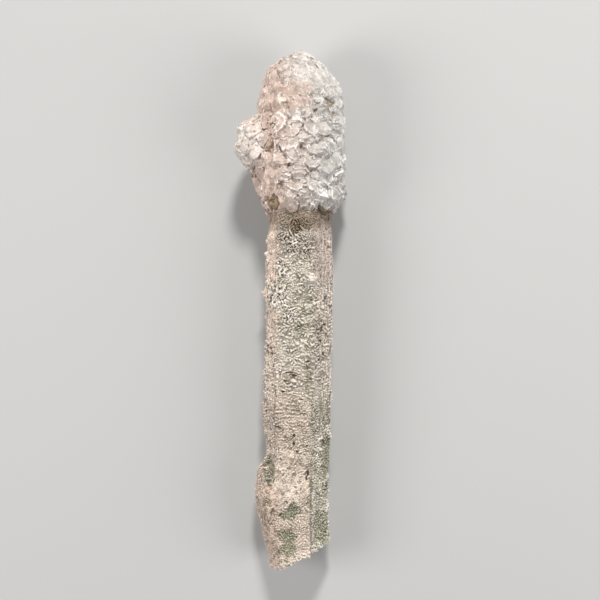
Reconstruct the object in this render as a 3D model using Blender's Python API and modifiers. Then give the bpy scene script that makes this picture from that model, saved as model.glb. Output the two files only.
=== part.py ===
"""A quartz floater: a doubly grown quartz crystal that formed without touching its rock.

A long six-sided prism carries a thick cap of thin, rounded, overlapping crystal scales, with a
small lobe of the same scales on one side. A second crystal runs along the lower end of the
prism, which is broken off at a slant. It all grew together, so it is one solid.

The crystal is built in its own growth frame: Y runs along it from the middle of its length
towards the capped end, X runs across it and Z comes out of its front. The last step lays it on
its back on a flat surface at Z = 0. Everything is in metres.
"""

import math
import random

import bmesh
import bpy
from mathutils import Matrix, Vector, noise

# ---- Prism ---------------------------------------------------------------------------------
PRISM_TURN = math.radians(10)  # the front face looks this far towards -X
PRISM_TOP_Y = 0.056  # inside the cap
PRISM_BOTTOM_Y = -0.082  # below the break, which cuts it
COLUMNS_PER_FACE = 3
LEDGE_PITCH = 0.0026  # mean height of a growth ledge
LEDGE_DEPTH = 0.00030
CRUST_DEPTH = 0.00044  # swells of the sugary crust on the faces
PRISM_SHAPE = (  # (y, axis x, corner radius): how the prism's girth and line wander
    (PRISM_TOP_Y, 0.0003, 0.0100),
    (0.0290, 0.0003, 0.0101),
    (0.0150, 0.0000, 0.0104),
    (-0.0070, 0.0000, 0.0106),
    (-0.0230, -0.0006, 0.0105),
    (-0.0320, -0.0007, 0.0108),
    (-0.0400, -0.0004, 0.0100),
    (-0.0500, -0.0003, 0.0098),
    (PRISM_BOTTOM_Y, 0.0000, 0.0095),
)

# ---- Second crystal, along the lower end of the first --------------------------------------
SECOND_SHAPE = (  # (y, axis x, corner radius)
    (-0.0430, -0.0016, 0.0078),
    (-0.0462, -0.0034, 0.0090),
    (-0.0480, -0.0042, 0.0092),
    (-0.0555, -0.0042, 0.0095),
    (-0.0640, -0.0038, 0.0083),
    (-0.0720, -0.0034, 0.0067),
    (-0.0840, -0.0028, 0.0040),
)

# ---- Cap of crystal scales -----------------------------------------------------------------
CAP_LIP_Y = 0.0290  # lower lip of the cap
CAP_TIP_Y = 0.0772
CAP_FRONT = 0.0122  # axis to the cap's front
CAP_BACK = 0.0119  # axis to the cap's back
SCALE_STAND = 0.0006  # how far the scales stand out of the cap's body
CAP_SIDES = (  # (y, left x, right x): the cap's outline, seen from the front
    (0.0292, -0.0102, 0.0106),
    (0.0310, -0.0113, 0.0124),
    (0.0335, -0.0117, 0.0128),
    (0.0380, -0.0126, 0.0127),
    (0.0430, -0.0133, 0.0127),
    (0.0500, -0.0132, 0.0129),
    (0.0570, -0.0124, 0.0130),
    (0.0645, -0.0123, 0.0132),
    (0.0680, -0.0111, 0.0114),
    (0.0705, -0.0105, 0.0102),
    (0.0728, -0.0090, 0.0080),
    (0.0750, -0.0062, 0.0054),
    (0.0764, -0.0030, 0.0032),
    (CAP_TIP_Y, 0.0000, 0.0008),
)
CAP_ROUND = 20  # points round the cap's body
SCALE_PITCH = 0.0054  # distance from one scale to the next
SCALE_WIDE = 0.0034  # radius of a large scale
SCALE_THICK = 0.0016
SCALE_SIDES = 7
SCALE_TIP_SHRINK = 0.62  # the scales near the tip are this much smaller

# ---- Side lobe -----------------------------------------------------------------------------
LOBE_CENTRE = Vector((-0.0124, 0.0499, 0.0022))
LOBE_RADII = Vector((0.0058, 0.0073, 0.0062))
LOBE_FOOT_CENTRE = Vector((-0.0136, 0.0447, 0.0010))  # the small lobe that hangs under it
LOBE_FOOT_RADII = Vector((0.0030, 0.0034, 0.0034))
LOBE_SCALES = 26

# ---- Lying on its back ---------------------------------------------------------------------
REST_END_Y = -0.0690  # where the prism's back face meets the surface
REST_END_TRIM = 0.00030  # wear on that face's end
REST_CAP_Y = 0.0450
REST_CAP_DEPTH = 0.0117  # axis to the surface, under the cap

# ---- Skin ----------------------------------------------------------------------------------
SKIN_VOXEL = 0.0003
SKIN_KEEP = 0.0256  # share of the skin's triangles that are kept

SEED = 7


# ---- Small helpers -------------------------------------------------------------------------
def clear_scene():
    for obj in list(bpy.data.objects):
        bpy.data.objects.remove(obj, do_unlink=True)


def new_collection(name):
    collection = bpy.data.collections.new(name)
    bpy.context.scene.collection.children.link(collection)
    return collection


def mesh_from(bm, name):
    """The finished shape as a mesh of triangles, which stay flat however their corners move."""
    bmesh.ops.triangulate(bm, faces=bm.faces[:])
    bmesh.ops.recalc_face_normals(bm, faces=bm.faces[:])
    mesh = bpy.data.meshes.new(name)
    bm.to_mesh(mesh)
    bm.free()
    return mesh


def between(rows, y):
    """The row of a shape table at height y, its numbers worked out between the rows round it."""
    rows = sorted(rows)
    if y <= rows[0][0]:
        return rows[0][1:]
    for low, high in zip(rows, rows[1:]):
        if y <= high[0]:
            share = (y - low[0]) / (high[0] - low[0])
            return tuple(a + (b - a) * share for a, b in zip(low[1:], high[1:]))
    return rows[-1][1:]


def facing(point, outward, up=Vector((0, 1, 0))):
    """A matrix at point whose local Z is outward and whose local Y is as near up as can be."""
    z = outward.normalized()
    x = up.cross(z)
    x = x.normalized() if x.length > 1e-6 else z.orthogonal().normalized()
    y = z.cross(x)
    rotation = Matrix((x, y, z)).transposed().to_4x4()
    return Matrix.Translation(point) @ rotation


def helper(name, mesh, matrix, collection):
    """A hidden shape that a Boolean adds to the crystal or takes from it."""
    obj = bpy.data.objects.new(name, mesh)
    obj.matrix_world = matrix
    obj.hide_render = True
    obj.display_type = "WIRE"
    collection.objects.link(obj)
    return obj


# ---- Prisms --------------------------------------------------------------------------------
def face_normal(face):
    """The outward direction of a prism face. Face 0 is the front, and they count round to -X."""
    angle = math.radians(90) + PRISM_TURN + math.radians(60) * face
    return Vector((math.cos(angle), 0, math.sin(angle)))


def on_face(face, across, y, lift=0.0):
    """A matrix on a prism face, across metres from its middle line towards +X on the front."""
    normal = face_normal(face)
    axis_x, corner = between(PRISM_SHAPE, y)
    side = Vector((0, 1, 0)).cross(normal)
    flat = corner * math.cos(math.radians(30))
    point = Vector((axis_x, y, 0)) + normal * (flat + lift) + side * across
    return facing(point, normal)


def ledge_heights(low, high, rng):
    heights = []
    y = low
    while True:
        y += LEDGE_PITCH * rng.uniform(0.6, 1.4)
        if y > high - LEDGE_PITCH / 2:
            return heights
        heights.append(y)


def prism_bmesh(low, high, heights):
    """A six-sided prism along Y with COLUMNS_PER_FACE strips a face and an edge loop a height."""
    bm = bmesh.new()
    bmesh.ops.create_cone(
        bm,
        cap_ends=True,
        segments=6 * COLUMNS_PER_FACE,
        radius1=1.0,
        radius2=1.0,
        depth=high - low,
    )
    upright = Matrix.Translation((0, (low + high) / 2, 0)) @ Matrix.Rotation(math.radians(-90), 4, "X")
    bmesh.ops.transform(bm, matrix=upright, verts=bm.verts[:])
    for y in heights:
        everything = bm.verts[:] + bm.edges[:] + bm.faces[:]
        bmesh.ops.bisect_plane(bm, geom=everything, plane_co=(0, y, 0), plane_no=(0, 1, 0))
    # The round of points becomes a hexagon: each point is drawn in to the flat of its own face.
    for vert in bm.verts:
        # The cone's points lie halfway between the columns' numbers, counted from +X.
        column = math.floor(math.atan2(vert.co.z, vert.co.x) / math.radians(60 / COLUMNS_PER_FACE))
        corner, along = divmod(column, COLUMNS_PER_FACE)
        share = along / COLUMNS_PER_FACE
        a, b = (math.radians(60) * k + PRISM_TURN for k in (corner, corner + 1))
        vert.co.x = math.cos(a) * (1 - share) + math.cos(b) * share
        vert.co.z = math.sin(a) * (1 - share) + math.sin(b) * share
    return bm


def crust(point):
    """Swells of the crust: wider across the crystal than along it, as growth lines are."""
    stretched = Vector((point.x * 260, point.y * 560, point.z * 260))
    return noise.noise(stretched) + 0.5 * noise.noise(stretched * 2.3)


def shape_prism(bm, shape, rng):
    """Gives each ring of the prism its girth and place, a ledge of its own and some crust."""
    ledges = {}
    for vert in bm.verts:
        axis_x, corner = between(shape, vert.co.y)
        ledge = ledges.setdefault(round(vert.co.y, 6), rng.uniform(-LEDGE_DEPTH, LEDGE_DEPTH))
        radial = Vector((vert.co.x, 0, vert.co.z))
        point = Vector((radial.x * corner, vert.co.y, radial.z * corner))
        swell = ledge + CRUST_DEPTH * crust(point)
        back = max(0.0, -face_normal(0).dot(radial) - 0.6) / 0.4
        point += radial * swell * (1 - min(1.0, back))
        vert.co = point + Vector((axis_x, 0, 0))


def make_prism(rng):
    heights = ledge_heights(PRISM_BOTTOM_Y, CAP_LIP_Y, rng)
    bm = prism_bmesh(PRISM_BOTTOM_Y, PRISM_TOP_Y, heights)
    shape_prism(bm, PRISM_SHAPE, rng)
    return mesh_from(bm, "prism")


def make_second_crystal(rng):
    low, high = SECOND_SHAPE[-1][0], SECOND_SHAPE[0][0]
    heights = [row[0] for row in SECOND_SHAPE[1:-1]] + [-0.0515, -0.0597, -0.0682, -0.0765]
    bm = prism_bmesh(low, high, sorted(heights))
    shape_prism(bm, SECOND_SHAPE, rng)
    return mesh_from(bm, "second_crystal")


# ---- Cap -----------------------------------------------------------------------------------
def cap_point(angle, y, stand=0.0):
    """A point of the cap's body at this height, angle being round from +X towards the front."""
    left, right = between(CAP_SIDES, y)
    middle = (left + right) / 2
    half = (right - left) / 2
    widest = 0.0133
    front = CAP_FRONT if math.sin(angle) > 0 else CAP_BACK
    depth = front * min(1.0, half / widest) ** 0.85
    return Vector(
        (
            middle + (half + stand) * math.cos(angle),
            y,
            (depth + stand) * math.sin(angle),
        )
    )


def cap_normal(angle, y):
    """The outward direction of the cap's body there, from its slope both ways."""
    step = 0.0004
    around = cap_point(angle + 0.02, y) - cap_point(angle - 0.02, y)
    along = cap_point(angle, y + step) - cap_point(angle, y - step)
    return around.cross(along).normalized() * -1


def make_cap_body():
    """A turned form whose rings follow the cap's outline: a cylinder with its rings drawn in."""
    heights = [row[0] for row in CAP_SIDES]
    bm = bmesh.new()
    bmesh.ops.create_cone(
        bm, cap_ends=True, segments=CAP_ROUND, radius1=1.0, radius2=1.0, depth=heights[-1] - heights[0]
    )
    middle = (heights[0] + heights[-1]) / 2
    upright = Matrix.Translation((0, middle, 0)) @ Matrix.Rotation(math.radians(-90), 4, "X")
    bmesh.ops.transform(bm, matrix=upright, verts=bm.verts[:])
    for y in heights[1:-1]:
        everything = bm.verts[:] + bm.edges[:] + bm.faces[:]
        bmesh.ops.bisect_plane(bm, geom=everything, plane_co=(0, y, 0), plane_no=(0, 1, 0))
    for vert in bm.verts:
        angle = math.atan2(vert.co.z, vert.co.x)
        vert.co = cap_point(angle, vert.co.y, -SCALE_STAND)
    return mesh_from(bm, "cap_body")


def make_scale_meshes():
    """A few forms of one crystal scale: a thin, flat-faced tablet with a sloping rim."""
    meshes = []
    for form, (squeeze, slope) in enumerate(((1.0, 0.70), (0.82, 0.76), (0.92, 0.62))):
        bm = bmesh.new()
        bmesh.ops.create_cone(
            bm, cap_ends=True, segments=SCALE_SIDES, radius1=1.0, radius2=slope, depth=1.0
        )
        bmesh.ops.scale(bm, vec=(1.0, squeeze, 1.0), verts=bm.verts[:])
        meshes.append(mesh_from(bm, f"scale_{form}"))
    return meshes


def lay_scale(name, meshes, point, normal, radius, rng, collection, tip=1.0):
    """One scale on the cap: near enough flat on it, tipped up on one side as shingles are."""
    tilt = math.radians(rng.uniform(6, 24)) * tip
    lean = Matrix.Rotation(rng.uniform(0, math.tau), 4, "Z") @ Matrix.Rotation(tilt, 4, "X")
    turn = Matrix.Rotation(rng.uniform(0, math.tau), 4, "Z")
    size = Matrix.Diagonal((radius, radius, SCALE_THICK * rng.uniform(0.85, 1.15), 1))
    matrix = facing(point, normal) @ lean @ turn @ size
    return helper(name, rng.choice(meshes), matrix, collection)


def cover_cap(meshes, rng, collection):
    """Staggered rows of scales from the lip up to the tip."""
    y = CAP_LIP_Y + 0.0018
    row = 0
    while y < CAP_TIP_Y - 0.0014:
        left, right = between(CAP_SIDES, y)
        share = (y - CAP_LIP_Y) / (CAP_TIP_Y - CAP_LIP_Y)
        size = 1 - (1 - SCALE_TIP_SHRINK) * share**1.5
        count = max(3, round(math.pi * (right - left) / (SCALE_PITCH * size)))
        for k in range(count):
            angle = math.tau * (k + 0.5 * (row % 2) + rng.uniform(-0.22, 0.22)) / count
            height = y + rng.uniform(-0.18, 0.18) * SCALE_PITCH * size
            height = min(max(height, CAP_LIP_Y + 0.0010), CAP_TIP_Y - 0.0008)
            point = cap_point(angle, height, -SCALE_STAND - 0.0001)
            radius = SCALE_WIDE * size * rng.uniform(0.8, 1.12)
            normal = cap_normal(angle, height)
            lay_scale(f"cap_scale_{row}_{k}", meshes, point, normal, radius, rng, collection)
        y += SCALE_PITCH * size * 0.88
        row += 1


def make_lobe(radii, name):
    bm = bmesh.new()
    bmesh.ops.create_icosphere(bm, subdivisions=2, radius=1.0)
    bmesh.ops.scale(bm, vec=radii, verts=bm.verts[:])
    return mesh_from(bm, name)


def cover_lobe(centre, radii, count, meshes, rng, collection, name):
    """Scales spread evenly over a lobe by turning on by the golden angle, on its free side."""
    golden = math.pi * (3 - math.sqrt(5))
    for k in range(count):
        height = 1 - 2 * (k + 0.5) / count
        ring = math.sqrt(1 - height * height)
        ball = Vector((ring * math.cos(golden * k), height, ring * math.sin(golden * k)))
        if ball.x > 0.35:
            continue
        point = centre + Vector((ball.x * radii.x, ball.y * radii.y, ball.z * radii.z))
        normal = Vector((ball.x / radii.x, ball.y / radii.y, ball.z / radii.z))
        radius = SCALE_WIDE * rng.uniform(0.62, 0.8)
        lay_scale(f"{name}_scale_{k}", meshes, point, normal, radius, rng, collection)


# ---- Details of the prism ------------------------------------------------------------------
def make_point_mesh():
    """A small quartz point: a six-sided stub that narrows to a blunt top."""
    bm = bmesh.new()
    bmesh.ops.create_cone(bm, cap_ends=True, segments=6, radius1=1.0, radius2=0.55, depth=1.0)
    return mesh_from(bm, "small_point")


POINT_EDGE = 0.0047  # the points stay this near a face's middle line
POINT_STAND = 0.00036  # how far a point of middling size stands out of the face
POINT_CLUSTERS = (  # (face, across, y, half width, half height, points, point size)
    (0, -0.0008, 0.0215, 0.0044, 0.0036, 12, 0.00125),
    (0, 0.0004, 0.0130, 0.0046, 0.0040, 9, 0.00105),
    (0, -0.0004, -0.0040, 0.0046, 0.0110, 13, 0.00100),
    (0, 0.0000, -0.0290, 0.0044, 0.0100, 9, 0.00095),
    (0, -0.0010, -0.0540, 0.0040, 0.0120, 8, 0.00095),
    (1, 0.0000, 0.0210, 0.0046, 0.0046, 9, 0.00115),
    (1, 0.0010, 0.0040, 0.0040, 0.0060, 12, 0.00120),
    (1, 0.0000, -0.0200, 0.0044, 0.0120, 9, 0.00100),
    (5, -0.0006, 0.0180, 0.0044, 0.0060, 8, 0.00110),
    (5, -0.0006, -0.0060, 0.0040, 0.0060, 10, 0.00110),
    (5, 0.0020, -0.0300, 0.0030, 0.0120, 9, 0.00105),
    (4, 0.0006, 0.0000, 0.0044, 0.0240, 17, 0.00115),
    (4, 0.0004, -0.0480, 0.0040, 0.0180, 8, 0.00105),
    (2, 0.0000, 0.0020, 0.0044, 0.0240, 17, 0.00115),
    (2, 0.0010, -0.0360, 0.0030, 0.0080, 4, 0.00105),
)


def stud_prism(rng, collection):
    """Clusters of small quartz points where the crust on the prism is coarser."""
    mesh = make_point_mesh()
    for c, (face, across, y, wide, high, count, size) in enumerate(POINT_CLUSTERS):
        for k in range(count):
            spot = min(max(across + rng.uniform(-wide, wide), -POINT_EDGE), POINT_EDGE)
            radius = size * rng.uniform(0.75, 1.3)
            length = 2 * radius
            sink = length / 2 - POINT_STAND * radius / size
            matrix = on_face(face, spot, y + rng.uniform(-high, high), -sink)
            lean = Matrix.Rotation(math.radians(rng.uniform(-12, 12)), 4, "X")
            sway = Matrix.Rotation(math.radians(rng.uniform(-12, 12)), 4, "Y")
            scale = Matrix.Diagonal((radius, radius, length, 1))
            helper(f"point_{c}_{k}", mesh, matrix @ lean @ sway @ scale, collection)


CRUST_WINDOWS = (  # (face, across, y, half width, half height, depth): crust has come away here
    (1, 0.0008, -0.0478, 0.0034, 0.0056, 0.0005),
    (0, -0.0006, -0.0596, 0.0026, 0.0019, 0.0005),
    (0, -0.0018, -0.0684, 0.0028, 0.0037, 0.0005),
    (0, -0.0010, -0.0305, 0.0036, 0.0030, 0.0004),
    (5, 0.0004, -0.0665, 0.0030, 0.0034, 0.0005),
    (5, -0.0028, -0.0260, 0.0012, 0.0090, 0.0004),
    (5, -0.0042, -0.0612, 0.0008, 0.0110, 0.0006),
    (0, 0.0040, -0.0500, 0.0010, 0.0018, 0.0009),
    (0, -0.0008, -0.0195, 0.0018, 0.0009, 0.0007),
    (1, 0.0020, -0.0128, 0.0013, 0.0011, 0.0009),
    (5, 0.0014, -0.0405, 0.0011, 0.0013, 0.0007),
    (2, 0.0006, -0.0260, 0.0030, 0.0060, 0.0005),
    (4, -0.0012, -0.0440, 0.0030, 0.0046, 0.0005),
)
WINDOW_SIDES = 9


def make_window_cutter(wide, high, depth, rng, name):
    """A ragged flat slug that sinks into a face by depth. Its walls lean, as a broken rim does."""
    bm = bmesh.new()
    bmesh.ops.create_cone(
        bm, cap_ends=True, segments=WINDOW_SIDES, radius1=0.86, radius2=1.25, depth=1.0
    )
    reach = 0.0025
    for vert in bm.verts:
        angle = math.atan2(vert.co.y, vert.co.x)
        ragged = 1 + 0.22 * math.sin(3 * angle + wide * 9000) + 0.10 * math.sin(5 * angle)
        vert.co.x *= wide * ragged
        vert.co.y *= high * ragged
        vert.co.z = reach if vert.co.z > 0 else -depth
        vert.co.z += 0.00012 * rng.uniform(-1, 1)
    return mesh_from(bm, name)


def open_windows(rng, collection):
    for k, (face, across, y, wide, high, depth) in enumerate(CRUST_WINDOWS):
        mesh = make_window_cutter(wide, high, depth, rng, f"window_{k}")
        turn = Matrix.Rotation(math.radians(rng.uniform(-12, 12)), 4, "Z")
        helper(f"window_{k}", mesh, on_face(face, across, y) @ turn, collection)


# ---- Broken end ----------------------------------------------------------------------------
BREAK_LEFT = Vector((-0.0066, -0.0762, 0))  # lowest point of the crystal
BREAK_RIGHT = Vector((0.0100, -0.0681, 0))
BREAK_BACK_LEAN = 0.16  # how much the break also faces the back
CHIPS = (  # (x, y, z, radius): small shells chipped off the rim of the break
    (0.0052, -0.0742, 0.0085, 0.0022),
    (0.0098, -0.0712, 0.0040, 0.0026),
    (-0.0105, -0.0762, 0.0030, 0.0030),
    (0.0010, -0.0782, 0.0095, 0.0024),
    (-0.0030, -0.0790, -0.0065, 0.0030),
)


def break_end(collection):
    """Cuts the lower end at a slant, with the uneven surface of a break in quartz."""
    line = (BREAK_RIGHT - BREAK_LEFT).normalized()
    outward = Vector((line.y, -line.x, -BREAK_BACK_LEAN)).normalized()
    depth = 0.020
    bm = bmesh.new()
    bmesh.ops.create_cube(bm, size=1.0)
    bmesh.ops.scale(bm, vec=(0.050, 0.050, depth), verts=bm.verts[:])
    bm.normal_update()
    upper = [f for f in bm.faces if f.normal.z < -0.9]
    edges = list({e for f in upper for e in f.edges})
    bmesh.ops.subdivide_edges(bm, edges=edges, cuts=9, use_grid_fill=True)
    for vert in bm.verts:
        if vert.co.z < 0:
            spot = Vector((vert.co.x * 190, vert.co.y * 190, 4.2))
            shell = 0.35 * math.cos(vert.co.length * 900)
            vert.co.z += 0.0014 * (noise.noise(spot) + 0.5 * noise.noise(spot * 2.7)) + 0.0004 * shell
    middle = (BREAK_LEFT + BREAK_RIGHT) / 2 + outward * depth / 2
    helper("break", mesh_from(bm, "break"), facing(middle, outward), collection)
    for k, (x, y, z, radius) in enumerate(CHIPS):
        ball = bmesh.new()
        bmesh.ops.create_icosphere(ball, subdivisions=2, radius=radius)
        mesh = mesh_from(ball, f"chip_{k}")
        helper(f"chip_{k}", mesh, Matrix.Translation((x, y, z)), collection)


# ---- Putting it together -------------------------------------------------------------------
def stone_material():
    material = bpy.data.materials.new("crusted quartz")
    material.use_nodes = True
    shader = material.node_tree.nodes["Principled BSDF"]
    shader.inputs["Base Color"].default_value = (0.55, 0.50, 0.43, 1)
    shader.inputs["Roughness"].default_value = 0.62
    shader.inputs["Metallic"].default_value = 0.0
    return material


def combine(obj, collection, operation):
    modifier = obj.modifiers.new(collection.name, "BOOLEAN")
    modifier.operation = operation
    modifier.solver = "EXACT"
    modifier.operand_type = "COLLECTION"
    modifier.collection = collection


def fuse_skin(obj):
    """Grows one closed skin over all that was joined, then thins it out where it is flat."""
    remesh = obj.modifiers.new("skin", "REMESH")
    remesh.mode = "VOXEL"
    remesh.voxel_size = SKIN_VOXEL
    decimate = obj.modifiers.new("thin out", "DECIMATE")
    decimate.ratio = SKIN_KEEP


def lay_on_back(obj, helpers, surface):
    """Turns the crystal so that its back face and the back of the cap meet a flat surface."""
    corner = between(PRISM_SHAPE, REST_END_Y)[1]
    end = Vector((0, REST_END_Y, REST_END_TRIM - corner * math.cos(math.radians(30))))
    cap = Vector((0, REST_CAP_Y, -REST_CAP_DEPTH))
    rise = math.atan2(end.z - cap.z, cap.y - end.y)
    roll = Matrix.Rotation(PRISM_TURN, 4, "Y")
    tip = Matrix.Rotation(rise, 4, "X")
    drop = Matrix.Translation((0, 0, -(tip @ cap).z))
    matrix = drop @ tip @ roll
    for piece in [obj, *helpers]:
        piece.matrix_world = matrix @ piece.matrix_world

    floor = bmesh.new()
    bmesh.ops.create_cube(floor, size=1.0)
    bmesh.ops.scale(floor, vec=(0.08, 0.20, 0.02), verts=floor.verts[:])
    place = Matrix.Translation((0, 0, -0.01))
    helper("resting_surface", mesh_from(floor, "resting_surface"), place, surface)


def centre_on_origin(obj, helpers):
    """Puts the middle of the crystal's box over the origin."""
    bpy.context.view_layer.update()
    graph = bpy.context.evaluated_depsgraph_get()
    evaluated = obj.evaluated_get(graph)
    mesh = evaluated.to_mesh()
    points = [evaluated.matrix_world @ v.co for v in mesh.vertices]
    evaluated.to_mesh_clear()
    middle = [(min(p[k] for p in points) + max(p[k] for p in points)) / 2 for k in range(2)]
    low = min(p.z for p in points)
    shift = Matrix.Translation((-middle[0], -middle[1], -low))
    for piece in [obj, *helpers]:
        piece.matrix_world = shift @ piece.matrix_world


def main():
    clear_scene()
    rng = random.Random(SEED)
    crystal_collection = new_collection("quartz floater")
    growths = new_collection("growths")
    cutters = new_collection("cutters")
    surface = new_collection("surface wear")

    crystal = bpy.data.objects.new("quartz_floater", make_prism(rng))
    crystal.data.materials.append(stone_material())
    crystal_collection.objects.link(crystal)

    helper("second_crystal", make_second_crystal(rng), Matrix.Identity(4), growths)
    helper("cap_body", make_cap_body(), Matrix.Identity(4), growths)
    helper("lobe", make_lobe(LOBE_RADII, "lobe"), Matrix.Translation(LOBE_CENTRE), growths)
    foot = make_lobe(LOBE_FOOT_RADII, "lobe_foot")
    helper("lobe_foot", foot, Matrix.Translation(LOBE_FOOT_CENTRE), growths)

    scales = make_scale_meshes()
    cover_cap(scales, rng, growths)
    cover_lobe(LOBE_CENTRE, LOBE_RADII, LOBE_SCALES, scales, rng, growths, "lobe")
    stud_prism(rng, growths)
    open_windows(rng, cutters)
    break_end(cutters)

    combine(crystal, growths, "UNION")
    combine(crystal, cutters, "DIFFERENCE")
    fuse_skin(crystal)
    helpers = list(growths.objects) + list(cutters.objects)
    lay_on_back(crystal, helpers, surface)
    combine(crystal, surface, "DIFFERENCE")
    centre_on_origin(crystal, helpers + list(surface.objects))


main()
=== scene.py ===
# %% [markdown]
# # A quartz floater, dressed
# The frame holds one solid: a six-sided quartz prism with a cap of crystal scales, lying on its
# back. This lesson puts the real surface on it. The solid is copied, given a fine even skin, and
# that skin is raised into ridges, pits and overlapping scales. Loose flakes and quartz points
# then stand on it, as they do on the stone.

# %% Load the frame
import math

import bpy
import numpy as np
from mathutils import Matrix, Vector, kdtree, noise


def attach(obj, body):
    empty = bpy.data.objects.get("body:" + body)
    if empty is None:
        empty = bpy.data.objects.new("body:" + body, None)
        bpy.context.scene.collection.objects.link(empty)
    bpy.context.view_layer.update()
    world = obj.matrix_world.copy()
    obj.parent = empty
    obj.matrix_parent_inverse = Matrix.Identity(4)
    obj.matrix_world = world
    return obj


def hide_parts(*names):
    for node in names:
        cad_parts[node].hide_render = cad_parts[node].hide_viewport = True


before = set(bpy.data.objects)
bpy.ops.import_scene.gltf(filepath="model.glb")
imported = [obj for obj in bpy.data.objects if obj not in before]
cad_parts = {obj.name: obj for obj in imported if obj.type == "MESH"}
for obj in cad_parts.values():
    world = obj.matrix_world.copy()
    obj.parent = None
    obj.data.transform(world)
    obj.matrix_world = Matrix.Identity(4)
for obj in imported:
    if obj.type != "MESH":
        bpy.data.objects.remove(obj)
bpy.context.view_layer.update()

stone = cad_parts["quartz_floater"]

# %% [markdown]
# ## The crystal's own directions
# The crystal grew along its own Y, with its front towards its own Z. In the frame it is rolled a
# little and lies on its back. Two angles and one point lead from one to the other, so every place
# below can be given the way a collector would say it: so far up the crystal, so far to the right.

# %% The growth frame
ROLL = math.radians(10)  # about the crystal's length
TIP = math.radians(1.8425)  # the capped end lies this much higher
AXIS_POINT = Vector((0.002493, 0.00021, 0.010247))  # on the axis, halfway up
TO_FRAME = (
    Matrix.Translation(AXIS_POINT) @ Matrix.Rotation(TIP, 4, "X") @ Matrix.Rotation(ROLL, 4, "Y")
)
TURN = np.array(TO_FRAME.to_3x3())
SHIFT = np.array(AXIS_POINT)
UP_CRYSTAL = TURN @ np.array((0.0, 1.0, 0.0))


def to_growth(points):
    """Frame positions as the crystal's own: x to the right, y up the crystal, z to the front."""
    return (points - SHIFT) @ TURN


print("up the crystal:", [round(float(v), 3) for v in UP_CRYSTAL])

# %% [markdown]
# ## Camera, floor and light
# The camera comes first, so that each layer can be looked at as it is made. It looks straight at
# the crystal's front from a hand's distance. The key light comes in low from the capped end, which
# rakes over the crust and shows every ridge; two wide weak lights fill from the sides.

# %% Camera, floor and lights
VIEW_DISTANCE = 0.45
VIEW_WIDE = 0.180  # what the picture spans at the crystal's axis
SENSOR = 36.0

camera_data = bpy.data.cameras.new("camera")
camera_data.sensor_width = SENSOR
camera_data.lens = SENSOR * VIEW_DISTANCE / VIEW_WIDE
camera_data.clip_start = 0.01
camera = bpy.data.objects.new("camera", camera_data)
camera.matrix_world = TO_FRAME @ Matrix.Translation((0.0003, 0.0030, VIEW_DISTANCE))
bpy.context.scene.collection.objects.link(camera)
bpy.context.scene.camera = camera


def deselect_all():
    if bpy.context.object and bpy.context.object.mode != "OBJECT":
        bpy.ops.object.mode_set(mode="OBJECT")
    bpy.ops.object.select_all(action="DESELECT")


deselect_all()
bpy.ops.mesh.primitive_plane_add(size=3.0, location=(0, 0, -0.00005))
floor = bpy.context.object
floor.name = "floor"
floor_finish = bpy.data.materials.new("pale floor")
floor_finish.use_nodes = True
floor_shader = floor_finish.node_tree.nodes["Principled BSDF"]
floor_shader.inputs["Base Color"].default_value = (0.46, 0.46, 0.455, 1)
floor_shader.inputs["Roughness"].default_value = 0.85
floor.data.materials.append(floor_finish)


def soft_light(name, place, size, watts, colour=(1, 1, 1)):
    """An area light that looks at the middle of the crystal."""
    light = bpy.data.lights.new(name, "AREA")
    light.shape = "DISK"
    light.size = size
    light.energy = watts
    light.color = colour
    lamp = bpy.data.objects.new(name, light)
    lamp.location = place
    lamp.rotation_euler = (AXIS_POINT - Vector(place)).to_track_quat("-Z", "Y").to_euler()
    bpy.context.scene.collection.objects.link(lamp)


soft_light("key", (0.12, 0.55, 0.48), 0.12, 5.0, (1.0, 0.985, 0.96))
soft_light("left fill", (-0.48, -0.10, 0.38), 0.36, 2.45, (1.0, 0.975, 0.955))
soft_light("right fill", (0.52, -0.14, 0.32), 0.40, 2.35, (1.0, 0.985, 0.97))
world = bpy.data.worlds.new("studio")
world.use_nodes = True
world.node_tree.nodes["Background"].inputs["Color"].default_value = (0.93, 0.95, 1.0, 1)
world.node_tree.nodes["Background"].inputs["Strength"].default_value = 0.20
bpy.context.scene.world = world
bpy.context.scene.view_settings.view_transform = "Standard"
print("camera at", [round(v, 3) for v in camera.matrix_world.translation])

# %% [markdown]
# ## Small tools
# A few helpers do what the hand does in the window: pick one object, apply a modifier, read a
# mesh as arrays. Reading as arrays matters here, because a skin has some hundred thousand points.

# %% Helpers
def only(piece):
    """Makes this the one selected, active object."""
    deselect_all()
    piece.select_set(True)
    bpy.context.view_layer.objects.active = piece


def apply_modifier(piece, kind, **settings):
    only(piece)
    modifier = piece.modifiers.new(kind.lower(), kind)
    for setting, value in settings.items():
        setattr(modifier, setting, value)
    bpy.ops.object.modifier_apply(modifier=modifier.name)


def points_of(mesh):
    flat = np.empty(len(mesh.vertices) * 3, np.float32)
    mesh.vertices.foreach_get("co", flat)
    return flat.reshape(-1, 3).astype(float)


def normals_of(mesh):
    flat = np.empty(len(mesh.vertices) * 3, np.float32)
    mesh.vertex_normals.foreach_get("vector", flat)
    return flat.reshape(-1, 3).astype(float)


def move_points(mesh, points):
    mesh.vertices.foreach_set("co", points.astype(np.float32).ravel())
    mesh.update()


def give(mesh, name, values):
    """Stores one number a point on the mesh, for its material to read."""
    layer = mesh.attributes.new(name, "FLOAT", "POINT")
    layer.data.foreach_set("value", np.asarray(values, np.float32))


def soft_step(start, end, value):
    """0 before start, 1 after end and a smooth slope between; start may be the larger."""
    share = np.clip((value - start) / (end - start), 0, 1)
    return share * share * (3 - 2 * share)


def swell(points, scales, seed=0.0):
    """Smooth random swells from -1 to 1. The three scales are swells a metre each way."""
    scaled = points * np.array(scales) + seed
    return np.array([noise.noise(Vector(p)) for p in scaled])


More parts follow.
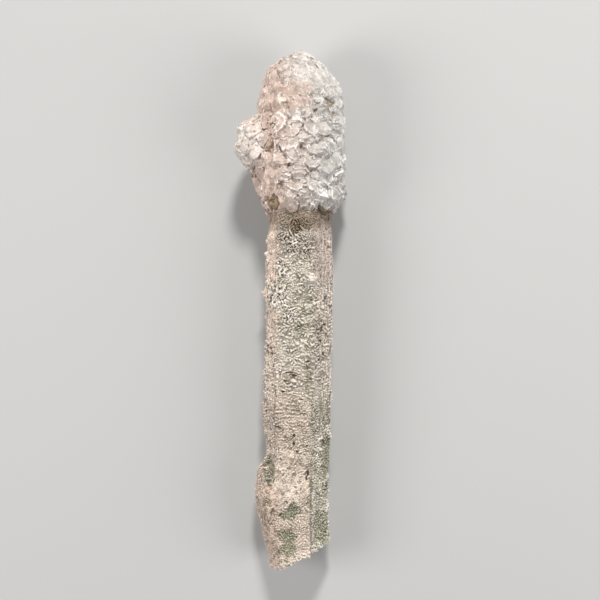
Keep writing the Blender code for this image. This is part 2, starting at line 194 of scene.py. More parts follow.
def triangles_in(piece):
    return sum(len(face.vertices) - 2 for face in piece.data.polygons)


print("a soft step from 0 to 1, at 0.25 and 0.5:", soft_step(0, 1, 0.25), soft_step(0, 1, 0.5))

# %% [markdown]
# ## Where the surface changes
# The crust isn't the same all over. Where it fell away the green-grey prism shows, the neck under
# the cap's lip is darkened brown, partly a stain and partly painted shade, and the left of the cap
# blushes, partly with a painted warm reflection. Each such place is an oval with a ragged edge, so
# that colour and relief can both follow it later. They are given as seen from the front, or from
# the back for the far side.

# %% Named places
MM = 0.001
WINDOWS = (  # (x, y, half width, half height) in mm, where the crust has come away, front
    (-10.2, -45.2, 2.3, 3.0),
    (-8.6, -48.6, 1.6, 3.2),
    (-3.2, -60.6, 2.7, 1.2),
    (-1.4, -59.2, 2.0, 1.6),
    (-1.9, -57.9, 0.9, 1.2),
    (-3.6, -66.9, 2.9, 2.1),
    (-2.9, -70.4, 2.1, 2.2),
    (6.4, -64.0, 2.2, 4.6),
    (8.0, -43.0, 1.4, 6.0),
)
BACK_WINDOWS = ((-7.8, -26.0, 2.2, 5.6), (8.2, -43.0, 2.0, 4.4), (-5.0, 8.0, 1.6, 3.0))
GREEN_TINTS = (  # where the crust is thin and the green shines through
    (7.0, -55.0, 4.0, 20.0),
    (7.6, -33.0, 2.4, 9.0),
    (2.8, -17.0, 1.2, 9.0),
    (4.6, -32.0, 1.3, 7.5),
    (-0.4, -29.8, 2.4, 1.5),
    (-4.5, -72.0, 3.5, 3.0),
    (-9.4, -60.0, 2.0, 5.0),
    (1.0, -5.5, 2.2, 2.6),
    (6.2, -5.0, 1.6, 3.2),
    (2.4, 1.0, 1.8, 3.0),
)
# The pits are sunk into the skin, and their dark colour is painted shade.
PITS = (  # small dark holes
    (-9.7, -10.6, 0.7, 0.4),
    (-8.5, -11.2, 0.5, 0.5),
    (-9.3, -12.4, 0.4, 0.5),
    (-8.2, -12.9, 0.3, 0.3),
    (-2.9, -18.4, 1.2, 0.32),
    (-1.6, -19.2, 0.9, 0.28),
    (-3.6, -20.8, 0.9, 0.25),
    (2.5, -48.1, 0.28, 0.9),
    (2.1, -49.6, 0.25, 0.8),
    (8.1, -52.4, 0.35, 0.9),
    (7.7, -53.4, 0.5, 0.3),
    (-1.6, -39.3, 0.32, 0.5),
    (-0.6, -41.7, 0.38, 0.3),
    (-5.5, -44.0, 0.30, 0.3),
    (-6.6, -34.4, 0.9, 0.25),
    (7.9, 3.6, 0.4, 0.7),
    (6.4, -5.6, 0.5, 0.9),
    (7.4, -4.4, 0.6, 0.5),
    (7.8, -7.2, 0.5, 0.6),
    (-9.7, -27.2, 0.25, 0.6),
    (-9.9, -30.2, 0.3, 0.5),
    (-8.5, -35.5, 0.3, 0.3),
    (-1.5, -36.9, 0.3, 0.6),
    (2.3, -40.0, 0.5, 0.22),
    (2.5, -15.0, 0.7, 0.25),
    (7.3, -13.0, 0.35, 0.5),
    (6.0, -14.7, 0.5, 0.3),
    (-5.7, -34.7, 0.7, 0.25),
    (-7.6, -16.4, 0.3, 0.5),
    (-4.9, -24.0, 0.8, 0.22),
    (0.6, -26.3, 0.5, 0.22),
)
# Spots of painted highlight on the cap.
HIGHLIGHT_SPOTS = ((-4.8, 62.2, 1.7, 1.2), (-0.3, 57.0, 1.5, 1.7), (6.2, 34.5, 2.2, 1.3))  # on the cap
BUMPS = (  # (x, y, half width, height) in mm: one pale nub in front, and spurs on the left edge
    (3.9, 9.2, 1.15, 1.15),
    (-9.9, 20.7, 0.50, 1.00),
    (-10.0, 17.0, 0.60, 1.00),
    (-10.2, 5.2, 0.65, 0.80),
    (-10.2, -2.2, 0.50, 0.50),
)
DRUSES = (  # clusters of coarse crystals; the last number is how many stand there
    (-0.6, 25.4, 3.4, 2.0, 26),
    (-2.2, 20.4, 3.2, 3.4, 90),
    (1.6, 17.6, 2.6, 2.2, 34),
    (-5.2, 12.8, 1.7, 2.6, 30),
    (-7.0, 4.2, 3.9, 4.4, 130),
    (-3.4, -1.4, 2.4, 2.2, 24),
    (6.6, -6.4, 1.3, 2.4, 24),
    (5.6, 1.6, 1.6, 2.0, 20),
)
LOBE = np.array((-0.0134, 0.0494, 0.0020))  # the middle of the lobe on the cap's left, in metres
PLACES = (WINDOWS, BACK_WINDOWS, GREEN_TINTS, PITS, HIGHLIGHT_SPOTS, BUMPS, DRUSES)
print("named places:", sum(len(places) for places in PLACES) + 1)


# %% Ovals with ragged edges
def oval(x, y, place, ragged):
    """1 in an oval, 0 outside it, with an edge that the ragged values push in and out."""
    away = np.hypot((x / MM - place[0]) / place[2], (y / MM - place[1]) / place[3])
    return 1 - soft_step(0.94, 1.03, away + ragged)


def any_oval(growth, places, ragged, side=1):
    """The strongest of a list of ovals, for each point on the front (or the back) half."""
    strongest = np.zeros(len(growth))
    for place in places:
        strongest = np.maximum(strongest, oval(growth[:, 0], growth[:, 1], place, ragged))
    return strongest * (growth[:, 2] * side > 0)


print("in an oval's middle and outside it:", *(oval(x, 0, (0, 0, 1, 1), 0) for x in (0, 2 * MM)))

# %% [markdown]
# ## Tints
# A few strong colours would look painted on, so many weak ones lie over one another, as minerals
# do. Each is a share from 0 to 1 at every point. Some are the ovals above; others fade in along
# the crystal or across it, and noise keeps their edges from being straight. A few of them are
# painted light and shade rather than the stone's own colour.

# %% Tints at any point
def zones(growth):
    """Every named tint of the surface at these points, each from 0 to 1."""
    x, y, z = growth.T
    front = z > 0
    ragged = 0.40 * swell(growth, (420, 340, 420), 3.0) + 0.30 * swell(growth, (1300, 1100, 1300))
    wavy_x = x + 0.003 * ragged
    on_cap = soft_step(0.0285, 0.0300, y)
    stem = 1 - on_cap
    rightwards = soft_step(0.0030, 0.0062, wavy_x)

    # on the stem
    front_windows = any_oval(growth, WINDOWS, 0.65 * ragged)
    windows = np.maximum(front_windows, any_oval(growth, BACK_WINDOWS, ragged, -1)) * stem
    pits = any_oval(growth, PITS, ragged) * stem
    flecks = swell(growth, (620, 520, 620), 9.0) + 0.3 * swell(growth, (1500, 1500, 1500))
    tints = any_oval(growth, GREEN_TINTS, ragged) * soft_step(0.18, -0.12, flecks) * stem
    druse = any_oval(growth, DRUSES, 1.3 * ragged) * soft_step(-0.001, 0.002, z) * stem
    stem_left = soft_step(-0.0052, -0.0070, x) * soft_step(-0.034, 0.004, y) * (1 - 0.9 * druse)
    low_left = soft_step(-0.005, -0.008, x) * soft_step(-0.050, -0.056, y)
    warm_foot = 0.6 * soft_step(-0.010, -0.034, y) * soft_step(0.0050, 0.0020, wavy_x)
    lilac = rightwards * soft_step(-0.006, 0.014, y + 0.006 * ragged)
    shaded = 0.45 * rightwards * soft_step(-0.052, -0.010, y)
    under_neck = 0.35 * oval(x, y, (-0.5, 21.0, 6.5, 8.0), ragged) * stem
    # The neck under the cap's lip is darkened brown: partly a stain, partly painted shade under the lip.
    neck = 0.80 * soft_step(0.0230, 0.0265, y + 0.003 * ragged) * (1 - soft_step(0.0290, 0.0315, y))
    neck += 0.70 * oval(x, y, (-0.3, 26.4, 4.8, 3.4), 1.3 * ragged) * front

    # on the cap
    left = soft_step(0.002, -0.009, x + 0.004 * ragged)
    from_lobe = np.linalg.norm(growth - LOBE, axis=1)
    lobe = 1 - soft_step(0.0050, 0.0088, from_lobe + 0.0014 * ragged)
    pale_tip = soft_step(0.062, 0.073, y) * soft_step(-0.008, 0.003, wavy_x)
    # A warm tint over the whole cap, stronger on its left, where it is a painted warm reflection.
    cap_blush_and_reflection = on_cap * (0.28 + 0.72 * left) * (1 - 0.8 * pale_tip) * (1 - 0.8 * lobe)
    # Painted cool shade on the cap's right side.
    cool_shade = on_cap * soft_step(0.000, 0.009, wavy_x) * (1 - 0.6 * pale_tip)
    white_and_painted_light = on_cap * np.maximum(0.8 * lobe, 0.4 * pale_tip)
    # Painted light that lifts the cap's lower left out of the lobe's shade.
    white_and_painted_light += 0.38 * on_cap * oval(x, y, (-9.4, 38.5, 3.6, 7.0), 0.5 * ragged) * (z > -0.006)
    # Painted highlights at the listed spots on the cap.
    highlight_spot = any_oval(growth, HIGHLIGHT_SPOTS, ragged) * on_cap
    olive = oval(x, y, (-8.0, 32.2, 1.7, 2.1), ragged) * front
    lip_shade = oval(x, y, (7.6, 29.5, 2.4, 1.2), ragged)
    # Painted shade in dark pits on the cap's right, where the skin is also sunk.
    dark_side = oval(x, y, (8.6, 61.3, 1.0, 1.3), ragged * 1.8) * front
    stained = oval(x, y, (9.6, 57.6, 0.8, 0.8), ragged) * front
    tan = oval(x, y, (-1.0, 62.5, 5.0, 5.0), ragged) * front
    # Painted shade in a cleft beside the lobe, where the skin is also sunk.
    cleft = oval(x, y, (-7.6, 49.5, 0.9, 3.4), ragged) * front

    blush_and_reflection = cap_blush_and_reflection + stem * (0.9 * stem_left + low_left + warm_foot)
    # The green and brown sums carry real stains and also the painted shade of the lip, the neck, the
    # pits, the dark side and the cleft.
    green_and_shade = windows + 0.85 * tints + 0.8 * olive + 0.8 * lip_shade
    brown_and_shade = 0.95 * neck + under_neck + 0.7 * stained + 0.20 * tan
    brown_and_shade += 0.8 * olive + 1.2 * lip_shade + 0.8 * dark_side + 0.6 * cleft
    return {
        "window": windows,
        "pit": pits,
        "druse": druse,
        "green_and_shade": np.clip(green_and_shade, 0, 1),
        "blush_and_reflection": np.clip(blush_and_reflection * (1 - 0.8 * windows) + 0.4 * tan, 0, 1),
        # This tint also carries the painted shade on the stem's right face.
        "lilac": np.maximum(np.maximum(lilac, shaded), 0.25 * low_left) * stem,
        "cool_shade": cool_shade,
        "white_and_painted_light": np.maximum(white_and_painted_light, 0.9 * highlight_spot),
        "highlight_spot": highlight_spot,
        "brown_and_shade": np.clip(brown_and_shade + pits, 0, 1),
        "smooth": np.clip(stem_left + lilac + low_left, 0, 1) * stem,
    }


TINTS = ("green_and_shade", "blush_and_reflection", "lilac", "cool_shade", "white_and_painted_light", "brown_and_shade")  # those that the finishes read
print("tints for the finishes:", *TINTS)

# %% [markdown]
# ## The skins
# A copy of the frame's solid is the best start, since it already has every face, the break and
# the second crystal. It is cut across into a stem and a cap. A coarse voxel remesh and a few
# rounds of smoothing take off the solid's facets, and a fine one gives an even skin whose points
# can be moved. The stem's cut end is pulled a little way up inside the cap.

# %% Cut and skin the solid
SAME_PLACE = 0.000001  # points nearer than this are one
LIP_Y = 0.0290  # the cap's lower end
STEM_END = LIP_Y - 0.0014
INTO_CAP = 0.0045  # how far the stem's end runs up inside the cap
COARSE_SKIN = 0.00045
STEM_SKIN = 0.00020
CAP_SKIN = 0.000205


def copy_of_stone(name):
    piece = stone.copy()
    piece.data = stone.data.copy()
    piece.name = piece.data.name = name
    for key in list(piece.keys()):
        del piece[key]
    piece.parent = None
    bpy.context.scene.collection.objects.link(piece)
    only(piece)
    bpy.ops.object.mode_set(mode="EDIT")
    bpy.ops.mesh.select_all(action="SELECT")
    bpy.ops.mesh.remove_doubles(threshold=SAME_PLACE)
    bpy.ops.object.mode_set(mode="OBJECT")
    return piece


def cut_at(piece, y, keep_above, grow=0.0):
    """Cuts a piece straight across the crystal, closes the cut, and may pull the end out."""
    only(piece)
    bpy.ops.object.mode_set(mode="EDIT")
    bpy.ops.mesh.select_all(action="SELECT")
    bpy.ops.mesh.bisect(
        plane_co=TO_FRAME @ Vector((0, y, 0)),
        plane_no=UP_CRYSTAL,
        use_fill=True,
        clear_inner=keep_above,
        clear_outer=not keep_above,
    )
    bpy.ops.mesh.mark_sharp()
    if grow:
        bpy.ops.mesh.extrude_region_move(TRANSFORM_OT_translate={"value": UP_CRYSTAL * grow})
    bpy.ops.object.mode_set(mode="OBJECT")


def skinned(name, low, high, grow, rounds, shrink, fine):
    """The part of the solid between two heights, smoothed, shrunk and with a fine skin."""
    piece = copy_of_stone(name)
    if low is not None:
        cut_at(piece, low, keep_above=True)
    if high is not None:
        cut_at(piece, high, keep_above=False, grow=grow)
    apply_modifier(piece, "REMESH", mode="VOXEL", voxel_size=COARSE_SKIN)
    apply_modifier(piece, "SMOOTH", factor=0.5, iterations=rounds)
    points = points_of(piece.data)
    move_points(piece.data, points - normals_of(piece.data) * shrink)
    apply_modifier(piece, "REMESH", mode="VOXEL", voxel_size=fine)
    print(f"{name}: {triangles_in(piece)} triangles")
    return piece


STEM_ROUNDS, STEM_SHRINK = 3, 0.00024
CAP_ROUNDS, CAP_SHRINK = 22, 0.00075
stem = skinned("stem", None, STEM_END, INTO_CAP, STEM_ROUNDS, STEM_SHRINK, STEM_SKIN)
cap = skinned("cap", LIP_Y, None, 0, CAP_ROUNDS, CAP_SHRINK, CAP_SKIN)

# %% [markdown]
# ## Ripples of one pitch
# Crust grows in ripples that keep their distance, as sand does under water, and plain noise
# doesn't. So a sheet of random dots is taken apart into waves, only the waves of one pitch are
# kept, and the rest is put together again. With waves of every direction it becomes a maze; with
# waves that run up the crystal, the ripples lie across it. Each pattern of the crust has its own
# sheet, from sugar of half a millimetre to chunks three times as coarse. A sheet goes once round
# the stem.

# %% Sheets of ripples
SHEET_STEP = 0.000125
SHEET_ROWS, SHEET_COLUMNS = 1024, 512


def ripple_sheet(pitch, spread, seed, lean=0.0, loose=0.25):
    """Ripples of this pitch. A small spread makes them run across, or turned by lean; loose
    lets the pitch vary."""
    dots = np.random.default_rng(seed).standard_normal((SHEET_ROWS, SHEET_COLUMNS))
    along = np.fft.fftfreq(SHEET_ROWS, SHEET_STEP)[:, None]
    across = np.fft.fftfreq(SHEET_COLUMNS, SHEET_STEP)[None]
    turn = (np.arctan2(across, along) - lean + math.pi / 2) % math.pi - math.pi / 2
    kept = np.exp(-(((np.hypot(along, across) * pitch - 1) / loose) ** 2) - (turn / spread) ** 2)
    sheet = np.fft.ifft2(np.fft.fft2(dots) * kept).real
    return sheet / sheet.std()


def on_sheet(sheet, growth):
    """What the sheet holds at these points, once it is wound round the crystal."""
    column = np.arctan2(growth[:, 0], growth[:, 2]) / math.tau * SHEET_COLUMNS
    row = growth[:, 1] / SHEET_STEP
    c, r = np.floor(column).astype(int), np.floor(row).astype(int)
    u, v = column - c, row - r
    c, r = c % SHEET_COLUMNS, r % SHEET_ROWS
    c1, r1 = (c + 1) % SHEET_COLUMNS, (r + 1) % SHEET_ROWS
    low = sheet[r, c] * (1 - u) + sheet[r, c1] * u
    return low * (1 - v) + (sheet[r1, c] * (1 - u) + sheet[r1, c1] * u) * v


EVERY_WAY = 9.0  # a spread so wide that waves of every direction stay
RIPPLES = ripple_sheet(0.00108, 0.95, 1, loose=0.60)
MAZE = ripple_sheet(0.00088, EVERY_WAY, 2, loose=0.45)
CRUMB = ripple_sheet(0.00072, 1.2, 3, loose=0.45)
SUGAR = ripple_sheet(0.00052, EVERY_WAY, 4, loose=0.40)
CHUNKS = ripple_sheet(0.00165, EVERY_WAY, 6, loose=0.45)
STREAKS = ripple_sheet(0.00130, 0.35, 7, lean=math.pi / 2, loose=0.5)
STROKES = ripple_sheet(0.00120, 0.20, 5, lean=-0.75, loose=0.5)
print("sheet:", SHEET_ROWS * SHEET_STEP, "by", SHEET_COLUMNS * SHEET_STEP, "m")

# %% [markdown]
# ## The crust on the stem
# Ripples run across the upper stem and fade into a fine low crumb further down. The coarse
# clusters are a maze of short walls with dark gaps, or of larger chunks where they reach round
# onto the slanted left face. The left edge and the upper right are smoother, one place near the
# foot is as smooth as plaster, and where crust has come away only grains are left. Every pattern
# is first measured at each point of the skin.

# %% Patterns in the crust
skin, stem_normals = points_of(stem.data), normals_of(stem.data)
growth = to_growth(skin)
x, y, z = growth.T
slow = swell(growth, (230, 150, 230), 7.0)
lump = swell(growth, (310, 360, 310), 29.0)
flaky = swell(growth, (620, 620, 620), 101.0)
mottle = swell(growth, (720, 900, 720), 107.0)
speck = soft_step(0.42, 0.54, swell(growth, (900, 1100, 900), 89.0))
patch = soft_step(-0.35, 0.10, swell(growth, (260, 330, 260), 31.0))
pushed = growth + 0.0010 * np.stack([swell(growth, (330, 330, 330), 71.0 + k) for k in range(3)], 1)
broken = on_sheet(MAZE, growth)
ripple = 0.42 * np.clip(on_sheet(RIPPLES, pushed) + 0.30 * broken + 0.15, 0, 2.6) ** 1.15
maze = soft_step(-0.20, 0.9, on_sheet(MAZE, pushed))
chunks = soft_step(0.0, 0.8, on_sheet(CHUNKS, pushed))
crumb = soft_step(-1.1, 1.3, on_sheet(CRUMB, pushed))
sugar = soft_step(-1.2, 1.4, on_sheet(SUGAR, growth))
strokes = on_sheet(STROKES, growth)
streaks = on_sheet(STREAKS, growth) * soft_step(0.0056, 0.0072, np.abs(x))
streaks *= soft_step(-0.049, -0.040, y) * soft_step(-0.003, 0.001, z)
print("patterns at", len(skin), "points")

# %% Where each pattern lies
found = zones(growth)
front = z > 0
break_y = -0.0729 + 0.476 * x  # the slant of the broken end
by_break = soft_step(0.0036, 0.0008, y - break_y)
plaster = oval(x, y, (-4.2, -49.6, 7.6, 8.4), 0.25 * lump) * front
flat = np.clip(np.maximum(0.85 * found["smooth"], 0.9 * plaster), 0, 1) * (1 - found["window"])
upper = soft_step(-0.036, -0.018, y + 0.006 * slow) * (1 - flat) * (1 - found["druse"])
upper *= (0.40 + 0.60 * patch) * (1 + 0.5 * mottle) * (1 - 0.7 * soft_step(0.020, 0.027, y))
lower = (1 - 0.6 * upper) * (1 - 0.55 * flat)
druse = found["druse"] * soft_step(-0.8, -0.1, mottle)
facing = soft_step(0.68, 0.88, stem_normals @ TURN[:, 2])  # 1 on the front face of the prism
cluster = maze * facing + chunks * (1 - facing)
panel = oval(x, y, (-3.6, -31.6, 4.2, 5.0), 0.15 * lump) * front
terraces = panel * soft_step(-0.034, -0.030, y) * np.cos((y + 0.0003 * slow) / 0.00125 * math.tau)
right_face = (z > 0.2 * x) * soft_step(0.0045, 0.0055, x)
crumbly = right_face * soft_step(-0.030, -0.040, y)
striped = right_face * np.cos(x / 0.0019 * math.tau + 0.8 * slow)
print("share in clusters:", round(float(druse.mean()), 3), "and rippled:", round(float(upper.mean()), 3))

# %% Lines, nubs and the windows' edges
edge_line = soft_step(0.00030, 0.00008, np.abs(x + 0.0073 - 0.0002 * slow))
edge_line *= soft_step(-0.038, -0.036, y) * soft_step(-0.026, -0.028, y) * front
groove = soft_step(0.00034, 0.00010, np.abs(x - 0.0036 - 0.0003 * slow - 0.0002 * mottle))
groove *= 0.40 + 0.60 * soft_step(-0.15, 0.25, swell(growth, (0, 260, 0), 55.0))
groove *= soft_step(-0.046, -0.050, y) * soft_step(-0.075, -0.072, y) * front
ledge = soft_step(0.00030, 0.00008, np.abs(y + 0.0648 - 0.0003 * slow))
ledge *= soft_step(-0.0072, -0.0066, x) * soft_step(0.0018, 0.0010, x) * front
lines = np.clip(0.5 * edge_line + groove + 0.5 * ledge * soft_step(-0.3, 0.3, flaky), 0, 1)
bump = np.zeros(len(skin))
for bump_x, bump_y, wide, high in BUMPS:
    away = np.hypot(x - bump_x * MM, y - bump_y * MM) / (wide * MM)
    bump += high * MM * np.exp(-(away**2)) * (z > -0.004)
window_edge = 4 * found["window"] * (1 - found["window"])
print("highest nub:", round(float(bump.max() * 1000), 2), "mm")

# %% [markdown]
# ## From patterns to relief and colour
# Two sums turn the patterns into a surface. The first says how far each point moves out along its
# normal, in metres. The second is its crest, which says how much of a grain's pale top it is, and
# the finish reads it: it paints a highlight on the crests and shade in the gaps, grooves and pits.
# They share most terms but not their weights, because a low ripple can still be pale and a deep
# hollow isn't always painted dark.

# %% How far the crust rises
rise = (
    0.00050 * (ripple - 0.4) * upper
    + 0.00080 * (cluster - 0.45) * druse
    + 0.00028 * (maze - 0.45) * crumbly
    + 0.00020 * (crumb - 0.5) * lower
    + 0.00045 * flaky * by_break
    + 0.00013 * (sugar - 0.5) * (1 - 0.7 * plaster)
    + 0.00006 * strokes * plaster
    + 0.00008 * streaks
    + 0.00020 * lump * (1 - 0.5 * flat)
    + 0.00008 * terraces
    + 0.00004 * striped
    + bump
    - 0.00012 * panel
    - 0.00022 * lines
    - 0.00050 * found["pit"]
    - 0.00016 * speck
    - 0.00020 * found["window"]
    + 0.00008 * window_edge
)
print("crust rises from", *(round(float(v * 1000), 2) for v in (rise.min(), rise.max())), "mm")

# %% How pale its crests are
sides = soft_step(0.0045, 0.0065, np.abs(x))
speckled = np.clip(found["green_and_shade"] + crumbly, 0, 1)
# The crest paints light and shade into the colour: a painted highlight on high crests, painted shade low
# in the gaps.
crest = (
    0.37
    + 0.10 * soft_step(-0.0060, -0.0075, x) * soft_step(0.010, 0.016, y)
    - 0.05 * soft_step(-0.018, -0.030, y) * (1 - plaster)
    + 0.055 * soft_step(0.002, -0.004, y) * soft_step(-0.030, -0.026, y) * (1 - flat)
    - 0.05 * soft_step(-0.025, -0.030, y) * soft_step(-0.050, -0.046, y)
    + 0.05 * strokes * plaster
    + 0.11 * streaks
    + 0.70 * (ripple - 0.41) * upper
    + ((0.90 + 0.20 * facing) * (cluster - 0.45) - 0.06 - 0.10 * soft_step(0.022, 0.024, y)) * druse
    + (0.65 * (maze - 0.42) + 0.08) * crumbly
    - 0.07 * found["window"] * (x > -0.006)
    + (0.38 + 0.40 * speckled) * (crumb - 0.5) * lower
    + (0.22 + 0.60 * speckled) * (sugar - 0.5) * (1 - 0.5 * plaster)
    + (0.10 + 0.14 * flat) * mottle
    + 0.20 * terraces
    + 0.10 * by_break
    + np.clip(500 * bump, 0, 0.45)
    # Painted shade in the grooves and along the edge lines.
    - 0.50 * lines
    - (0.35 + 0.35 * sides) * speck
    # Painted shadow along the windows' edges.
    - 0.30 * window_edge
)
# Painted shade in the gaps between the chunks on the slanted left face.
chunk_gap_shade = druse * (1 - facing) * soft_step(0.62, 0.20, chunks)
found["brown_and_shade"] = np.maximum(found["brown_and_shade"], 0.5 * chunk_gap_shade)
found["blush_and_reflection"] *= 1 - 0.8 * np.clip(2500 * bump, 0, 1)
print("middle crest:", round(float(np.median(crest)), 2))

# %% Move the stem's skin
resting = soft_step(0.0010, 0.0003, skin[:, 2])  # 1 where it touches the surface below
rise = rise * (1 - resting) + STEM_SHRINK * resting
moved = skin + stem_normals * rise[:, None]
moved[:, 2] = np.maximum(moved[:, 2], 0)
move_points(stem.data, moved)
for tint in TINTS:
    give(stem.data, tint, found[tint])
# The pits' dark colour is painted shade.
give(stem.data, "crest", np.clip(crest * (1 - 0.7 * found["pit"]), 0, 1))
give(stem.data, "tone", 0.9 * swell(growth, (260, 420, 260), 5.0) + 0.5 * (crumb - 0.5))
print("lowest point of the stem:", round(float(moved[:, 2].min() * 1000), 3), "mm")

# %% [markdown]
# ## Scattering
# Scales are spread the way a farmer spaces seedlings: places are drawn at random, and a place
# that comes too near an earlier one is dropped.

# %% Spread apart
rng = np.random.default_rng(21)


def thin_out(places, rooms):
    """Which places stay, when each keeps the later ones out of its own room."""
    cell = rooms.max()
    cells, kept = {}, []
    keys = np.floor(places / cell).astype(int)
    near = [(i, j, k) for i in (-1, 0, 1) for j in (-1, 0, 1) for k in (-1, 0, 1)]
    for index, (place, key, room) in enumerate(zip(places.tolist(), keys.tolist(), rooms.tolist())):
        crowded = False
        for i, j, k in near:
            for px, py, pz, other in cells.get((key[0] + i, key[1] + j, key[2] + k), ()):
                gap = (px - place[0]) ** 2 + (py - place[1]) ** 2 + (pz - place[2]) ** 2
                if gap < ((room + other) / 2) ** 2:
                    crowded = True
                    break
            if crowded:
                break
        if not crowded:
            cells.setdefault(tuple(key), []).append((*place, room))
            kept.append(index)
    return np.array(kept)


def tangents(normals):
    """For each normal, the direction to its right and the one near up the crystal."""
    side = np.cross(UP_CRYSTAL, normals)
    side /= np.linalg.norm(side, axis=1)[:, None]
    return side, np.cross(normals, side)


# %% [markdown]
# ## Scales on the cap
# A scale is a small stack of thin plates, each smaller than the one below and set back from its
# lower rim, with a slightly raised edge. Its rim towards the lip lifts like a shingle's. Large,
# middle and small scales are laid over one another, and at each point of the skin the highest
# plate wins, which packs them as tightly as the real ones. They are smaller and flatter at the
# tip, long and upright on the left flank, and lie every way on the right.

# %% What the scales lie on
SCALE_SETS = (  # (draws, room, radius, lift, least tilt, most tilt, plates)
    (12000, 0.0033, 0.0025, 0.00072, 6, 30, 3),
    (22000, 0.0021, 0.0014, 0.00064, 6, 42, 2),
    (52000, 0.0011, 0.00068, 0.00048, 0, 48, 1),
)
PLATE_STEP = 0.00017  # from one plate of a scale up to the next
PLATE_EDGE = 3.6  # how steeply a plate's side falls away
RIM_HIGH = 0.00008
OUTLINE_WAVES = ((2, 0.16), (3, 0.12), (4, 0.07), (5, 0.06), (8, 0.03), (13, 0.02))  # (count, depth)

cap_points, cap_normals = points_of(cap.data), normals_of(cap.data)
cap_growth = to_growth(cap_points)
cap_sides = cap_normals @ TURN
side, up = tangents(cap_normals)
tree = kdtree.KDTree(len(cap_points))
for index, point in enumerate(cap_points):
    tree.insert(point, index)
tree.balance()
tip = soft_step(0.052, 0.072, cap_growth[:, 1])
on_lobe = 1 - soft_step(0.0055, 0.0085, np.linalg.norm(cap_growth - LOBE, axis=1))
left = soft_step(-0.30, -0.65, cap_sides[:, 0]) * (1 - on_lobe)
right = soft_step(0.25, 0.7, cap_sides[:, 0])
small = (1 - 0.45 * tip) * (1 - 0.25 * on_lobe)
print("points on the cap's skin:", len(cap_points))


# %% Draw and lay one scale
def drawn_scale(spot, wide, lift, least, most):
    """All that is random about a scale, apart from its place, size and number of plates."""
    wander = math.radians(85) + math.radians(95) * right[spot]
    way = -math.pi / 2 + wander * (2 * rng.random() - 1)
    if left[spot] > 0.5:
        way = (0 if rng.random() < 0.5 else math.pi) + 0.5 * (rng.random() - 0.5)
    down = side[spot] * math.cos(way) + up[spot] * math.sin(way)
    tilt = math.radians(least + (most - least) * rng.random()) * (1 - 0.35 * tip[spot])
    tilt *= 1 + 0.4 * right[spot]
    stretch = 1 + (0.9 * left[spot] + 0.25) * rng.random()
    waves = [(n, a * rng.random(), math.tau * rng.random()) for n, a in OUTLINE_WAVES]
    cupped = rng.random() < 0.18 and left[spot] < 0.5
    hollow = (0.34 if cupped else 0.20 * rng.random()) * wide
    tilt *= 0.5 if cupped else 1
    base = lift * (0.4 + 1.2 * rng.random()) * (1 - 0.45 * tip[spot])
    return down, tilt, stretch, waves, hollow, base, rng.normal(0, 0.6), 0.40 + 0.60 * rng.random()


def lay_scale(spot, wide, share, plates, drawn):
    """Lays a scale's plates on the skin's points round it, where they are the highest so far."""
    down, tilt, stretch, waves, hollow, base, own_tone, own_rim = drawn
    normal = cap_normals[spot]
    reach = tree.find_range(cap_points[spot], wide * 1.75 * stretch)
    near = np.array([index for _, index, _ in reach])
    away = cap_points[near] - cap_points[spot]
    along, across = away @ down, away @ np.cross(normal, down)
    alike = (cap_normals[near] @ normal > 0.2) & (np.abs(away @ normal) < wide)
    near, along, across = near[alike], along[alike], across[alike]
    for plate in range(rng.integers(1, plates + 1)):
        set_back = along + 0.24 * wide * plate
        angle = np.arctan2(across, set_back)
        wavy = 1 + sum(w * np.cos(n * angle + p) for n, w, p in waves)
        outline = wide * (1 - 0.27 * plate) * wavy
        out = np.hypot(set_back, across / stretch) / outline  # 0 in its middle, 1 at its rim
        inside = out < 1
        top = base + math.tan(tilt) * along + PLATE_STEP * share * plate
        top = top + hollow * (np.minimum(out, 1) ** 2 - 0.6)
        top = top + RIM_HIGH * np.exp(-(((out - 0.93) / 0.08) ** 2))
        level = np.where(inside, top, top - (out - 1) * outline * PLATE_EDGE)
        wins = level > height[near]
        height[near[wins]] = level[wins]
        # The plates' edges are whitened: partly the broken edge, partly a painted highlight, strongest
        # on the lower rim.
        lower_rim = 0.3 + 0.7 * soft_step(-0.5, 0.5, set_back / outline)
        edge = np.where(inside, np.exp(-(((1 - out) / 0.14) ** 2)), 0.0)
        rim[near[wins]] = (edge * lower_rim)[wins] * own_rim
        tone[near[wins]] = own_tone


# %% Lay all the scales
height = np.full(len(cap_points), -0.0001)
rim = np.zeros(len(cap_points))
tone = np.zeros(len(cap_points))
for draws, room, radius, lift, least, most, plates in SCALE_SETS:
    chosen = rng.choice(len(cap_points), draws)
    shares = small[chosen] * (0.72 + 0.56 * rng.random(draws))
    stay = thin_out(cap_points[chosen], room * shares)
    for spot, share in zip(chosen[stay], shares[stay]):
        wide = radius * share
        lay_scale(spot, wide, share, plates, drawn_scale(spot, wide, lift, least, most))
    print("scales", round(radius * 2000, 1), "mm wide:", len(stay))

# %% Move the cap's skin
HIGHEST_SCALE = 0.0018
found = zones(cap_growth)
cap_tip = soft_step(0.052, 0.068, cap_growth[:, 1])
rough = swell(cap_growth, (1500, 1500, 1500), 17.0)
speck = swell(cap_growth, (2900, 2900, 2900), 19.0)
lumps = swell(cap_growth, (230, 230, 230), 23.0)
height = np.minimum(height, HIGHEST_SCALE)
rise = height * (1 - 0.30 * cap_tip) + 0.00006 * rough + 0.00006 * speck + 0.00070 * lumps
rise -= (0.0007 - 0.0004 * rough) * found["brown_and_shade"]
resting = soft_step(0.0012, 0.0003, cap_points[:, 2])
rise = rise * (1 - resting) + CAP_SHRINK * resting
under = soft_step(-0.75, -0.95, cap_sides[:, 1])  # 1 on the cut face that the stem runs into
rise *= 1 - under
uneven = 0.0018 * swell(cap_growth, (210, 100, 210), 41.0)
uneven += 0.0009 * swell(cap_growth, (620, 300, 620), 43.0)
